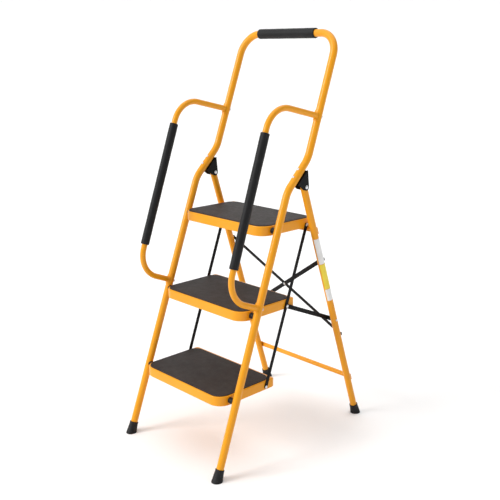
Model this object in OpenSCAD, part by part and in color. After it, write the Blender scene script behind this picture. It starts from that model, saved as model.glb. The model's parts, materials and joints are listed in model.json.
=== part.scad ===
// Folding three-step stool with a tall hoop frame and two handrails.
// +X is the user's right while climbing, the climbing side faces -Y, +Z is up and the feet stand on z = 0.
// Each part is laid out with y = 0 at the front feet, and stand() then centres the stool on the origin.

/* [Front frame] */
// Half of the distance between the front feet
foot_half = 230; // [225:1:235]
// Distance from the front feet to the rear feet
foot_spread = 702; // [696:1:708]
// Height of the top bar's axis
frame_h = 1385; // [1350:5:1420]
// Lean of the front stiles from the vertical, in degrees
stile_lean = 19.8; // [19.4:0.1:20.2]
// Inward lean of each front stile, in degrees
stile_taper = 0.57; // [0.4:0.01:0.7]
// Diameter of the front frame tube
stile_d = 25; // [24.5:0.1:25.4]
// Bend radius of the two top corners
top_r = 75; // [60:1:90]
// Height of the lower vertex of the kick in each stile
kick_low = 892; // [886:1:896]
// Height of the upper vertex of the kick
kick_high = 990; // [985:1:1000]
// How far the kick sets the upper stile back
set_back = 62; // [58:1:66]
// Bend radius of the kick
kick_r = 100; // [80:1:110]

/* [Steps] */
// Height of the lowest step's pivot
first_pivot = 242; // [238:1:246]
// Rise from one step to the next
step_rise = 264; // [260:1:266]
// Half width of each step
step_half = 198; // [196:0.5:198]
// Distance from the pivot to the step's front edge
step_front = 45; // [42:1:48]
// Distance from the pivot to the step's rear edge
step_rear = 215; // [210:1:216]
// Height of the step's side walls
step_h = 31.5; // [28:0.5:32]
// Corner radius of the step's front corners
step_corner = 45; // [35:1:45]
// Thickness of the sheet that the steps are pressed from
sheet = 1.5; // [1.2:0.1:2]
// Distance from the pivot back to the link rivet
link_reach = 163; // [160:1:166]

/* [Rear frame] */
// Half of the distance between the rear feet
rear_half = 233; // [230:1:234]
// Inward lean of each rear leg, in degrees
leg_taper = 0.77; // [0.6:0.01:0.8]
// Diameter of the rear leg tube
leg_d = 24; // [23:0.1:24]
// Distance of the folding hinge behind the front feet
hinge_y = 399; // [397:1:402]
// Height of the folding hinge
hinge_z = 900; // [897:1:903]
// Height of the strut's pivot on the rear leg
strut_z = 404; // [400:1:410]

/* [Handrails] */
// Diameter of the handrail tube
rail_d = 20; // [19:0.5:20]
// Bend radius of the handrail's corners
rail_r = 88; // [80:1:90]
// Diameter of the foam grips on the handrails
rail_grip_d = 29; // [27:1:31]
// Diameter of the foam grip on the top bar
top_grip_d = 34; // [32:1:36]
// Length of the foam grip on the top bar
top_grip_l = 262; // [220:2:264]
// How far the middle of that grip sits to the left
top_grip_shift = 11; // [0:1:12]

/* [Hidden] */
$fn = 64;

enamel = [0.96, 0.62, 0.13];
dark_paint = [0.13, 0.13, 0.14];
foam = [0.22, 0.22, 0.23];
rubber = [0.12, 0.12, 0.13];
mat_rubber = [0.25, 0.22, 0.21];
zinc = [0.75, 0.76, 0.78];

lean = tan(stile_lean);
stile_r = stile_d / 2;
leg_r = leg_d / 2;
tube_wall = 1.2;
gap = 0.4;
fit = 0.05;
hole_slack = 0.1;
weld = 0.02;

// Front frame: the upper stile starts at join_z, where the side bends hand over to the flat top hoop.
tube_start = 8;
join_z = 1150;
// Handrail vertices in the plane of the stile, as [y, z], and the dip of its two end legs in degrees
rail_low = [51, 590];
rail_high = [251.5, 1172];
rail_low_dip = 22.3;
rail_high_dip = 12.8;
rail_wall = 1.2;
rail_grip_from = 683;
rail_grip_to = 1086;
saddle_t = 2;
saddle_h = 34;
saddle_wrap = 190;
bolt_r = 3;
head_r = 6;
head_h = 4;
insert_l = 22;

// Hinge bracket: a channel whose two cheeks hold the top of the leg
cheek_t = 1.5;
cheek_gap = 0.5;
cheek_top = [404, 955.5];
cheek_heel = [381, 893];
lobe_r = 11.5;
pin_r = 4;

// Steps
pivot_r = 4;
spacer_r = 10;
rivet_r = 3;
rivet_head_r = 5.5;
rivet_head_h = 2;
pivot_above = 15;
rear_roll = 18;
rear_corner = 24;
mat_rear_gap = 21;
mat_rear_corner = 32;
mat_inset = 5;
mat_t = 3.5;
mat_sink = 1;
link_drop = 6;
link_t = 3;
link_r = 6.5;
strut_t = 3;
strut_r = 7.5;
link_x = step_half + gap;
strut_x = link_x + link_t + gap;

// Rear frame
leg_lean = atan((foot_spread - hinge_y) / hinge_z);
brace_up_z = 634;
brace_down_z = 336;
brace_r = 7.5;
brace_t = 2;
brace_bolt_r = 2.5;
upper_bar_z = 739;
lower_bar_z = 152.5;
upper_bar_d = 18;
lower_bar_d = 17;
bar_plate_t = 4;
bar_plate_l = 27;
bar_past_leg = 5;
hook_t = 2.5;
label_t = 0.3;

// Feet
foot_h = 40;
foot_bottom_r = 18;
foot_top_r = 14;
foot_sole = 5;

function unit(v) = v / norm(v);
function low_y(z) = lean * z;
function up_y(z) = lean * z + set_back;
function stile_x(z) = foot_half - z * sin(stile_taper);
function leg_y(z) = foot_spread - z * tan(leg_lean);
function leg_x(z) = rear_half - z * sin(leg_taper);
function step_pivot(i) = [low_y(first_pivot + i * step_rise), first_pivot + i * step_rise];
function link_pin(i) = step_pivot(i) + [link_reach, -link_drop];
function strut_pin() = [leg_y(strut_z), strut_z];
// Where a line from p at angle a meets a stile whose offset is set
function on_stile(p, a, set) =
  let (d = [cos(a), -sin(a)]) p + d * ((set + lean * p[1] - p[0]) / (d[0] - lean * d[1]));
// Tangent points and centre of a bend of radius r at vertex b
function bend_start(a, b, c, r) = b + unit(a - b) * r / tan(bend_half(a, b, c));
function bend_half(a, b, c) = acos(unit(a - b) * unit(c - b)) / 2;
function bend_centre(a, b, c, r) = b + unit(unit(a - b) + unit(c - b)) * r / sin(bend_half(a, b, c));

rail_foot_low = on_stile(rail_low, rail_low_dip, 0);
rail_foot_high = on_stile(rail_high, rail_high_dip, set_back);
rail_path = [rail_foot_low, rail_low, rail_high, rail_foot_high];
kick_a = [low_y(kick_low), kick_low];
kick_b = [up_y(kick_high), kick_high];
kick_dir = unit(kick_b - kick_a);
kick_normal = [kick_dir[1], -kick_dir[0]];

// Centres the stool between its front and rear feet
module stand() { translate([0, -foot_spread / 2, 0]) children(); }
// Turns a drawing in the XY plane into the side plane, with its height along +X
module yz() { rotate([90, 0, 90]) children(); }
// The plane of one front stile, side = -1 for left and 1 for right
module stile_plane(side) {
  translate([side * foot_half, 0, 0]) rotate([0, -side * stile_taper, 0]) yz() children();
}
// The plane of the top hoop, with x across and y along the upper stiles
module hoop_plane() {
  translate([0, up_y(join_z), join_z * cos(stile_taper)])
    rotate([90 - atan(lean / cos(stile_taper)), 0, 0]) children();
}
// The plane of the rear legs' axes: z runs up the legs and y points out of their rear faces
module leg_plane() { translate([0, foot_spread, 0]) rotate([leg_lean, 0, 0]) children(); }
// One leg's own axis as z, starting at its foot
module leg_axis(side) {
  translate([side * rear_half, foot_spread, 0]) rotate([0, -side * leg_taper, 0])
    rotate([leg_lean, 0, 0]) children();
}
// A round bar along X, from x = a to x = b, at the point [y, z]
module cross_pin(p, a, b, r) {
  translate([min(a, b), p[0], p[1]]) rotate([0, 90, 0]) cylinder(h = abs(b - a), r = r);
}
// A straight round bar between two points of the XY plane
module run(a, b, r) {
  d = b - a;
  translate([a[0], a[1], 0]) rotate([0, 0, atan2(d[1], d[0])]) rotate([0, 90, 0])
    cylinder(h = norm(d), r = r);
}
// A round bar bent at vertex b, between the directions to a and to c, with a bore of radius ri
module bend(a, b, c, bend_r, r, ri) {
  o = bend_centre(a, b, c, bend_r);
  s = bend_start(a, b, c, bend_r) - o;
  e = bend_start(c, b, a, bend_r) - o;
  from = atan2(s[1], s[0]);
  sweep = (atan2(e[1], e[0]) - from + 540) % 360 - 180;
  translate([o[0], o[1], 0]) rotate([0, 0, sweep > 0 ? from : from + sweep])
    rotate_extrude(angle = abs(sweep)) translate([bend_r, 0]) difference() {
      circle(r);
      circle(ri);
    }
}
// A straight tube between two points, set short of each end by cut_a and cut_b
module tube_run(a, b, r, ri, cut_a, cut_b) {
  d = unit(b - a);
  difference() {
    run(a + d * cut_a, b - d * cut_b, r);
    run(a - d, b + d, ri);
  }
}
// A weld seam that joins two lengths of tube at p
module seam(p, d, r, ri) {
  difference() {
    run(p - d * 0.5, p + d * 0.5, r + 0.05);
    run(p - d, p + d, ri - 0.05);
  }
}
// A tube through four points, bent at the two middle ones
module pipe(p, bend_r, r, ri) {
  a = bend_start(p[0], p[1], p[2], bend_r);
  b = bend_start(p[2], p[1], p[0], bend_r);
  c = bend_start(p[1], p[2], p[3], bend_r);
  d = bend_start(p[3], p[2], p[1], bend_r);
  tube_run(p[0], a, r, ri, 0, weld);
  bend(p[0], p[1], p[2], bend_r, r, ri);
  tube_run(b, c, r, ri, weld, weld);
  bend(p[1], p[2], p[3], bend_r, r, ri);
  tube_run(d, p[3], r, ri, weld, weld);
  seam(a, unit(p[1] - p[0]), r, ri);
  seam(b, unit(p[2] - p[1]), r, ri);
  seam(c, unit(p[2] - p[1]), r, ri);
  seam(d, unit(p[3] - p[2]), r, ri);
}
// A flat bar outline between two round ends of radius ra and rb
module bar_outline(a, b, ra, rb) {
  base = atan2(b[1] - a[1], b[0] - a[0]);
  side = acos((ra - rb) / norm(b - a));
  left = [cos(base + side), sin(base + side)];
  right = [cos(base - side), sin(base - side)];
  translate(a) circle(ra);
  translate(b) circle(rb);
  wa = ra - weld;
  wb = rb - weld;
  polygon([a + wa * left, a + wa * right, b + wb * right, b + wb * left]);
}
// A plate of thickness t whose outline is drawn in the side plane, its inner face at x
module side_plate(side, x, t) {
  translate([side > 0 ? x : -x - t, 0, 0]) yz() linear_extrude(t) children();
}

// ---- Front frame ----
module hoop_tube() {
  x_join = stile_x(join_z);
  x_top = stile_x(frame_h);
  r = stile_r;
  ri = stile_r - tube_wall;
  rise = (frame_h - join_z) * norm([lean, cos(stile_taper)]);
  side_path = [[low_y(tube_start), tube_start], kick_a, kick_b, [up_y(join_z), join_z]];
  for (side = [-1, 1]) stile_plane(side) {
    pipe(side_path, kick_r, r, ri);
    seam(side_path[3], unit([lean, 1]), r, ri);
  }
  hoop_plane() {
    foot_l = [-x_join, 0];
    foot_r = [x_join, 0];
    up_l = unit([-x_top, rise] - foot_l) * weld;
    up_r = unit([x_top, rise] - foot_r) * weld;
    pipe([foot_r + up_r, [x_top, rise], [-x_top, rise], foot_l + up_l], top_r, r, ri);
  }
}
module rail_bolt_holes(r) {
  for (side = [-1, 1]) stile_plane(side) {
    rail_bolt_line(rail_foot_low, rail_low_dip, stile_r + 6, r);
    rail_bolt_line(rail_foot_high, rail_high_dip, stile_r + 6, r);
  }
}
module rail_bolt_line(p, dip, reach, r) {
  d = [cos(dip), -sin(dip)];
  run(p - d * reach, p + d * reach, r);
}
function bracket_bolt(i) = kick_a + kick_dir * (i == 0 ? 52 : 84);
module bracket_bolt_line(i, from, to, r) {
  run(bracket_bolt(i) + kick_normal * from, bracket_bolt(i) + kick_normal * to, r);
}
module front_frame_tube() {
  color(enamel) difference() {
    hoop_tube();
    rail_bolt_holes(bolt_r + hole_slack);
    for (side = [-1, 1]) stile_plane(side)
      for (i = [0, 1]) bracket_bolt_line(i, -stile_r - 3, stile_r + 3, bolt_r + hole_slack);
    for (side = [-1, 1], i = [0:2])
      cross_pin(step_pivot(i), side * (step_half + 4), side * stile_x(step_pivot(i)[1]), pivot_r + hole_slack);
  }
}
module top_grip() {
  from = -top_grip_shift - top_grip_l / 2;
  rise = (frame_h - join_z) * norm([lean, cos(stile_taper)]);
  color(foam) hoop_plane() difference() {
    run([from, rise], [from + top_grip_l, rise], top_grip_d / 2);
    run([from - 1, rise], [from + top_grip_l + 1, rise], stile_r + fit);
  }
}
// The foot's cap: a flared rubber boot around the tube's end, cut level with the floor
module boot(tube_r, lean_cos) {
  low = -foot_bottom_r;
  r_low = foot_bottom_r + (foot_bottom_r - foot_top_r) * foot_bottom_r / foot_h;
  difference() {
    translate([0, 0, low]) cylinder(h = foot_h + foot_bottom_r, r1 = r_low, r2 = foot_top_r);
    translate([0, 0, tube_start / lean_cos]) cylinder(h = foot_h + 10, r = tube_r + fit);
  }
}
module above_floor(x, y) {
  intersection() {
    children();
    translate([x - 50, y - 50, 0]) cube([100, 100, 80]);
  }
}
module front_feet() {
  color(rubber) for (side = [-1, 1]) above_floor(side * foot_half, 0)
    translate([side * foot_half, 0, 0]) rotate([0, -side * stile_taper, 0])
      rotate([-stile_lean, 0, 0]) boot(stile_r, cos(stile_lean));
}

// ---- Handrails ----
module stile_solid(r) {
  run([low_y(rail_foot_low[1] - 60), rail_foot_low[1] - 60], [low_y(rail_foot_low[1] + 60), rail_foot_low[1] + 60], r);
  run([up_y(rail_foot_high[1] - 60), rail_foot_high[1] - 60], [up_y(rail_foot_high[1] + 60), rail_foot_high[1] + 60], r);
}
module handrail(side) {
  color(enamel) stile_plane(side) difference() {
    pipe(rail_path, rail_r, rail_d / 2, rail_d / 2 - rail_wall);
    stile_solid(stile_r + saddle_t + 2 * fit);
  }
}
module rail_grip(side) {
  d = unit(rail_high - rail_low);
  from = rail_low + d * ((rail_grip_from - rail_low[1]) / d[1]);
  to = rail_low + d * ((rail_grip_to - rail_low[1]) / d[1]);
  color(foam) stile_plane(side) difference() {
    run(from, to, rail_grip_d / 2);
    run(from - d, to + d, rail_d / 2 + fit);
  }
}
module saddle(p, dip) {
  d = [cos(dip), -sin(dip)];
  difference() {
    translate([p[0], p[1], 0]) rotate([0, 0, 90 - stile_lean]) rotate([0, 90, 0])
      rotate([0, 0, 90 - saddle_wrap / 2]) translate([0, 0, -saddle_h / 2])
        rotate_extrude(angle = saddle_wrap) translate([stile_r + fit, 0]) square([saddle_t, saddle_h]);
    run(p - d * 30, p, bolt_r + hole_slack);
  }
}
module rail_saddles() {
  color(enamel) for (side = [-1, 1]) stile_plane(side) {
    saddle(rail_foot_low, rail_low_dip);
    saddle(rail_foot_high, rail_high_dip);
  }
}
module rail_bolt(p, dip) {
  d = [cos(dip), -sin(dip)];
  seat = p + d * (stile_r + 0.9);
  run(p - d * (stile_r + saddle_t + 3 + insert_l), seat + d, bolt_r);
  run(seat, seat + d * head_h, head_r);
}
module rail_bolts() {
  color(zinc) for (side = [-1, 1]) stile_plane(side) {
    rail_bolt(rail_foot_low, rail_low_dip);
    rail_bolt(rail_foot_high, rail_high_dip);
  }
}
module rail_insert(p, dip) {
  d = [cos(dip), -sin(dip)];
  start = p - d * (stile_r + saddle_t + 3);
  difference() {
    run(start, start - d * insert_l, rail_d / 2 - rail_wall - fit);
    run(start + d, start - d * (insert_l + 1), bolt_r + fit);
  }
}
module rail_inserts() {
  color(zinc) for (side = [-1, 1]) stile_plane(side) {
    rail_insert(rail_foot_low, rail_low_dip);
    rail_insert(rail_foot_high, rail_high_dip);
  }
}

// ---- Folding hinge ----
// The tangent point on a circle of radius r round c, seen from p, on its left (way = 1) or right
function tangent(p, c, r, way) =
  let (d = norm(c - p), a = atan2(p[1] - c[1], p[0] - c[0]) - way * acos(r / d))
  c + r * [cos(a), sin(a)];
function web_point(along, out) = kick_a + kick_dir * along + kick_normal * (stile_r + 0.2 + out);
module cheek_outline() {
  hinge = [hinge_y, hinge_z];
  polygon([
    web_point(40, 0), cheek_heel, tangent(cheek_heel, hinge, lobe_r, -1), hinge,
    tangent(cheek_top, hinge, lobe_r, 1), cheek_top, web_point(102, 0)
  ]);
  translate(hinge) circle(lobe_r);
}
module hinge_bracket(side) {
  x_mid = leg_x(hinge_z);
  inner = x_mid - leg_r - cheek_gap - cheek_t;
  outer = x_mid + leg_r + cheek_gap;
  color(dark_paint) difference() {
    union() {
      side_plate(side, inner, cheek_t) cheek_outline();
      side_plate(side, outer, cheek_t) cheek_outline();
      side_plate(side, inner + cheek_t / 2, outer - inner)
        polygon([web_point(42, 0.1), web_point(100, 0.1), web_point(100, 2), web_point(42, 2)]);
    }
    cross_pin([hinge_y, hinge_z], side * (inner - 2), side * (outer + 4), pin_r);
    stile_plane(side) for (i = [0, 1]) bracket_bolt_line(i, 0, 40, bolt_r + hole_slack);
  }
}
module bracket_bolts() {
  color(zinc) for (side = [-1, 1]) stile_plane(side) for (i = [0, 1]) {
    bracket_bolt_line(i, -stile_r - 1.3, stile_r + 6, bolt_r);
    bracket_bolt_line(i, -stile_r - 1.9, -stile_r - 0.3, 4.2);
    bracket_bolt_line(i, stile_r + 2.3, stile_r + 5.3, 5);
  }
}
module hinge_pins() {
  x_mid = leg_x(hinge_z);
  half = leg_r + cheek_gap + cheek_t;
  color(zinc) for (side = [-1, 1]) {
    cross_pin([hinge_y, hinge_z], side * (x_mid - half - 2), side * (x_mid + half + 2), pin_r);
    cross_pin([hinge_y, hinge_z], side * (x_mid - half - 2), side * (x_mid - half), 6.5);
    cross_pin([hinge_y, hinge_z], side * (x_mid + half + 2), side * (x_mid + half), 6.5);
  }
}

// ---- Step pivots on the front frame ----
module step_pivot_bolts() {
  color(zinc) for (side = [-1, 1], i = [0:2]) {
    p = step_pivot(i);
    inside = step_half - sheet - 1;
    cross_pin(p, side * (inside - 1), side * (stile_x(p[1]) - 4), pivot_r);
    cross_pin(p, side * (inside - 3.5), side * inside, 7);
  }
}
module step_spacers() {
  color(rubber) for (side = [-1, 1], i = [0:2]) {
    p = step_pivot(i);
    difference() {
      cross_pin(p, side * (step_half + gap), side * stile_x(p[1]), spacer_r);
      cross_pin(p, side * (step_half - 1), side * (stile_x(p[1]) + 1), pivot_r + fit);
      stile_plane(side) run([low_y(p[1] - 30), p[1] - 30], [low_y(p[1] + 30), p[1] + 30], stile_r + fit);
    }
  }
}

// ---- Steps ----
// The step's plan outline, pulled in by t on every side
module step_plan(t) {
  w = step_half - t;
  f = -step_front + t;
  b = step_rear - t;
  fr = step_corner - t;
  br = rear_corner - t;
  translate([-w, f + fr]) square([2 * w, b - f - fr - br]);
  translate([-w + fr, f]) square([2 * (w - fr), fr + 1]);
  translate([-w + br, b - br - 1]) square([2 * (w - br), br + 1]);
  for (side = [-1, 1]) {
    translate([side * (w - fr), f + fr]) circle(fr);
    translate([side * (w - br), b - br]) circle(br);
  }
}
// The step's side outline: a flat top that rolls down into the rear wall
module step_profile(t, bottom) {
  b = step_rear - t;
  top = pivot_above - t;
  r = rear_roll - t;
  translate([-step_front - 1, bottom]) square([b - r + step_front + 1, top - bottom]);
  translate([b - r - 1, bottom]) square([r + 1, top - r - bottom]);
  translate([b - r, top - r]) circle(r);
}
// The step as a solid block, pulled in by t, with its open side at the height bottom
module step_form(t, bottom) {
  intersection() {
    translate([0, 0, bottom]) linear_extrude(step_h + 20) step_plan(t);
    translate([-step_half - 1, 0, 0]) yz() linear_extrude(2 * step_half + 2) step_profile(t, bottom - 1);
  }
}
module step_pan(i) {
  p = step_pivot(i);
  color(enamel) difference() {
    translate([0, p[0], p[1]]) difference() {
      step_form(0, pivot_above - step_h);
      step_form(sheet, pivot_above - step_h - 5);
    }
    for (side = [-1, 1]) {
      cross_pin(p, side * (step_half - 8), side * (step_half + 2), pivot_r + fit);
      cross_pin(link_pin(i), side * (step_half - 8), side * (step_half + 2), rivet_r);
    }
  }
}
module step_mat(i) {
  p = step_pivot(i);
  color(mat_rubber) translate([0, p[0], p[1] + pivot_above]) linear_extrude(mat_t - mat_sink)
    mat_plan();
}
module mat_plan() {
  w = step_half - mat_inset;
  f = -step_front + mat_inset;
  b = step_rear - mat_rear_gap;
  fr = step_corner - mat_inset;
  br = mat_rear_corner;
  translate([-w, f + fr]) square([2 * w, b - f - fr - br]);
  translate([-w + fr, f]) square([2 * (w - fr), fr + 1]);
  translate([-w + br, b - br - 1]) square([2 * (w - br), br + 1]);
  for (side = [-1, 1]) {
    translate([side * (w - fr), f + fr]) circle(fr);
    translate([side * (w - br), b - br]) circle(br);
  }
}
// The rivets that carry the link bars, and on the middle step the struts as well
module step_rivets(i) {
  p = link_pin(i);
  out = (i == 1 ? strut_x + strut_t : link_x + link_t) + gap;
  color(zinc) for (side = [-1, 1]) {
    cross_pin(p, side * (step_half - sheet - rivet_head_h), side * (step_half - sheet), rivet_head_r);
    cross_pin(p, side * (step_half - sheet), side * out, rivet_r);
    cross_pin(p, side * out, side * (out + rivet_head_h), rivet_head_r);
  }
}
// Hooks on the platform's sides that catch the upper crossbar from behind
module platform_hooks() {
  bar = upper_bar_centre();
  back = bar[0] + upper_bar_d / 2 + gap;
  base = step_pivot(2)[1] + pivot_above - step_h;
  color(enamel) for (side = [-1, 1]) side_plate(side, step_half, hook_t) {
    translate([bar[0] - 18, base]) square([back + 8 - bar[0] + 18, 12]);
    translate([back, bar[1] - 9]) square([8, base + 12 - bar[1] + 9]);
  }
}

// ---- Link bars and struts ----
module link_bar(side) {
  color(dark_paint) difference() {
    side_plate(side, link_x, link_t) bar_outline(link_pin(0), link_pin(2), link_r, link_r);
    for (i = [0:2]) cross_pin(link_pin(i), side * (link_x - 1), side * (link_x + link_t + 1), rivet_r + fit);
  }
}
module strut(side) {
  color(dark_paint) difference() {
    side_plate(side, strut_x, strut_t) bar_outline(link_pin(1), strut_pin(), strut_r, strut_r);
    cross_pin(link_pin(1), side * (strut_x - 1), side * (strut_x + strut_t + 1), rivet_r + fit);
    cross_pin(strut_pin(), side * (strut_x - 1), side * (strut_x + strut_t + 1), rivet_r);
  }
}
module strut_rivet(side) {
  color(zinc) {
    cross_pin(strut_pin(), side * strut_x, side * (strut_x + strut_t), rivet_r);
    cross_pin(strut_pin(), side * strut_x, side * (strut_x - 1.5), rivet_head_r);
  }
}
// Spacer tubes on the rear legs, which the free ends of the struts meet
module strut_spacers() {
  color(rubber) for (side = [-1, 1]) difference() {
    cross_pin(strut_pin(), side * (strut_x + strut_t + gap), side * leg_x(strut_z), 8);
    cross_pin(strut_pin(), side * strut_x, side * (leg_x(strut_z) + 1), rivet_r + fit);
    leg_axis(side) translate([0, 0, 200]) cylinder(h = 400, r = leg_r + fit);
  }
}

// Bolts that hold the spacer tubes, with their heads on the outer sides of the legs
module strut_bolts() {
  seat = leg_x(strut_z) + leg_r + 0.3;
  color(zinc) for (side = [-1, 1]) {
    cross_pin(strut_pin(), side * (strut_x + strut_t + gap + 0.5), side * (seat + 1), rivet_r);
    cross_pin(strut_pin(), side * seat, side * (seat + 2), 4.2);
  }
}

// ---- Rear frame ----
function leg_run(z) = z / cos(leg_lean);
function upper_bar_centre() =
  [leg_y(upper_bar_z) + (leg_r + bar_plate_t / 2) * cos(leg_lean),
   upper_bar_z + (leg_r + bar_plate_t / 2) * sin(leg_lean)];
module leg_rear_hole(side, z, r) {
  translate([side * leg_x(z), 0, leg_run(z)]) rotate([-90, 0, 0]) cylinder(h = leg_r + 6, r = r);
}
module rear_leg(side) {
  top = leg_run(hinge_z) + 13;
  start = tube_start / cos(leg_lean);
  color(enamel) difference() {
    leg_axis(side) difference() {
      translate([0, 0, start]) cylinder(h = top - start, r = leg_r);
      translate([0, 0, start - 1]) cylinder(h = top - start + 2, r = leg_r - tube_wall);
    }
    cross_pin([hinge_y, hinge_z], side * (leg_x(hinge_z) - 20), side * (leg_x(hinge_z) + 20), pin_r + fit);
    cross_pin(strut_pin(), side * (leg_x(strut_z) - 20), side * (leg_x(strut_z) + 20), rivet_r + fit);
    leg_plane() for (z = [brace_up_z, brace_down_z, upper_bar_z, lower_bar_z])
      leg_rear_hole(side, z, brace_bolt_r + hole_slack);
  }
}
// Plastic plugs that close the tops of the rear legs
module leg_plugs() {
  top = leg_run(hinge_z) + 13;
  color(rubber) for (side = [-1, 1]) leg_axis(side) {
    translate([0, 0, top]) cylinder(h = 2, r = leg_r);
    translate([0, 0, top - 6]) cylinder(h = 7, r = leg_r - tube_wall - fit);
  }
}
module rear_feet() {
  color(rubber) for (side = [-1, 1]) above_floor(side * rear_half, foot_spread)
    leg_axis(side) boot(leg_r, cos(leg_lean));
}
// A tube across the rear faces of the legs, flattened to plates at its ends
module crossbar(z, d) {
  x_end = leg_x(z) + bar_past_leg;
  y_mid = leg_r + hole_slack + bar_plate_t / 2;
  tube_half = x_end - bar_plate_l;
  color(enamel) leg_plane() difference() {
    translate([0, y_mid, leg_run(z)]) {
      difference() {
        rotate([0, 90, 0]) translate([0, 0, -tube_half]) cylinder(h = 2 * tube_half, r = d / 2);
        rotate([0, 90, 0]) translate([0, 0, -tube_half + 2]) cylinder(h = 2 * tube_half - 4, r = d / 2 - 1.2);
      }
      for (side = [-1, 1]) {
        translate([side * (x_end - bar_plate_l / 2), 0, 0])
          cube([bar_plate_l, bar_plate_t, d * 1.45], center = true);
        translate([side * (tube_half - 4), 0, 0]) cube([12, bar_plate_t, d * 0.7], center = true);
      }
    }
    for (side = [-1, 1]) leg_rear_hole(side, z, brace_bolt_r + hole_slack);
  }
}
module upper_crossbar() { crossbar(upper_bar_z, upper_bar_d); }
module lower_crossbar() { crossbar(lower_bar_z, lower_bar_d); }
module rear_rivet(side, z, seat, head, r) {
  translate([side * leg_x(z), 0, leg_run(z)]) rotate([-90, 0, 0]) {
    translate([0, 0, leg_r - 5]) cylinder(h = seat - leg_r + 6, r = brace_bolt_r);
    translate([0, 0, seat]) cylinder(h = head, r = r);
  }
}
module crossbar_rivets() {
  color(zinc) leg_plane() for (side = [-1, 1], z = [upper_bar_z, lower_bar_z])
    rear_rivet(side, z, leg_r + hole_slack + bar_plate_t, 2.5, 4.5);
}
// One flat diagonal of the X brace; way is 1 when it rises to the right
module brace_bar(way, y) {
  low = [-way * leg_x(brace_down_z), leg_run(brace_down_z)];
  high = [way * leg_x(brace_up_z), leg_run(brace_up_z)];
  mid = low + (high - low) * (-low[0]) / (high[0] - low[0]);
  color(dark_paint) leg_plane() translate([0, y + brace_t, 0]) rotate([90, 0, 0]) linear_extrude(brace_t)
    difference() {
      bar_outline(low, high, brace_r, brace_r);
      for (p = [low, mid, high]) translate(p) circle(brace_bolt_r + hole_slack, $fn = 32);
    }
}
brace_y_a = leg_r + 0.1;
brace_y_b = brace_y_a + brace_t + 0.1;
module brace_bar_rising() { brace_bar(1, brace_y_a); }
module brace_bar_falling() { brace_bar(-1, brace_y_b); }
module brace_bolts() {
  color(dark_paint) leg_plane() {
    rear_rivet(1, brace_up_z, brace_y_a + brace_t, 5.5, 4.5);
    rear_rivet(-1, brace_down_z, brace_y_a + brace_t, 5.5, 4.5);
    rear_rivet(-1, brace_up_z, brace_y_b + brace_t, 5.5, 4.5);
    rear_rivet(1, brace_down_z, brace_y_b + brace_t, 5.5, 4.5);
  }
}
// Washers that carry the second diagonal clear of the first
module brace_spacers() {
  color(zinc) leg_plane() for (p = [[-1, brace_up_z], [1, brace_down_z]])
    translate([p[0] * leg_x(p[1]), brace_y_a, leg_run(p[1])]) rotate([-90, 0, 0]) difference() {
      cylinder(h = brace_t, r = 5.5);
      translate([0, 0, -1]) cylinder(h = brace_t + 2, r = brace_bolt_r + hole_slack);
    }
}
module brace_rivet() {
  low_x = leg_x(brace_down_z);
  high_x = leg_x(brace_up_z);
  z = leg_run(brace_down_z) + (leg_run(brace_up_z) - leg_run(brace_down_z)) * low_x / (low_x + high_x);
  color(zinc) leg_plane() translate([0, 0, z]) rotate([-90, 0, 0]) {
    translate([0, 0, brace_y_a - 2]) cylinder(h = 2, r = 5);
    translate([0, 0, brace_y_a]) cylinder(h = brace_y_b + brace_t - brace_y_a, r = brace_bolt_r);
    translate([0, 0, brace_y_b + brace_t]) cylinder(h = 2, r = 5);
  }
}
// Blank adhesive labels wrapped on the outer side of the right rear leg
module leg_label(low, high, tint) {
  color(tint) leg_axis(1) translate([0, 0, leg_run(low)]) rotate([0, 0, -80])
    rotate_extrude(angle = 130) translate([leg_r + fit, 0]) square([label_t, leg_run(high) - leg_run(low)]);
}
module label_upper() { leg_label(626, 718, [0.93, 0.93, 0.92]); }
module label_middle() { leg_label(532, 624, [0.95, 0.85, 0.25]); }
module label_lower() { leg_label(486, 530, [0.9, 0.9, 0.9]); }

stand() front_frame_tube();
stand() top_grip();
stand() handrail(-1);  // left_handrail
stand() handrail(1);  // right_handrail
stand() rail_grip(-1);  // left_rail_grip
stand() rail_grip(1);  // right_rail_grip
stand() rail_saddles();
stand() rail_bolts();
stand() rail_inserts();
stand() hinge_bracket(-1);  // left_hinge_bracket
stand() hinge_bracket(1);  // right_hinge_bracket
stand() bracket_bolts();
stand() hinge_pins();
stand() front_feet();
stand() step_pivot_bolts();
stand() step_spacers();
stand() rear_leg(-1);  // left_rear_leg
stand() rear_leg(1);  // right_rear_leg
stand() leg_plugs();
stand() rear_feet();
stand() upper_crossbar();
stand() lower_crossbar();
stand() crossbar_rivets();
stand() brace_bar_rising();
stand() brace_bar_falling();
stand() brace_bolts();
stand() brace_spacers();
stand() brace_rivet();
stand() strut_spacers();
stand() label_upper();
stand() label_middle();
stand() label_lower();
stand() step_pan(2);  // platform_pan
stand() step_mat(2);  // platform_mat
stand() platform_hooks();
stand() step_rivets(2);  // platform_rivets
stand() step_pan(1);  // middle_pan
stand() step_mat(1);  // middle_mat
stand() step_rivets(1);  // middle_rivets
stand() step_pan(0);  // lower_pan
stand() step_mat(0);  // lower_mat
stand() step_rivets(0);  // lower_rivets
stand() link_bar(-1);  // left_link_bar
stand() link_bar(1);  // right_link_bar
stand() strut(-1);  // left_strut
stand() strut(1);  // right_strut
stand() strut_rivet(-1);  // left_strut_rivet
stand() strut_rivet(1);  // right_strut_rivet
stand() strut_bolts();
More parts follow.
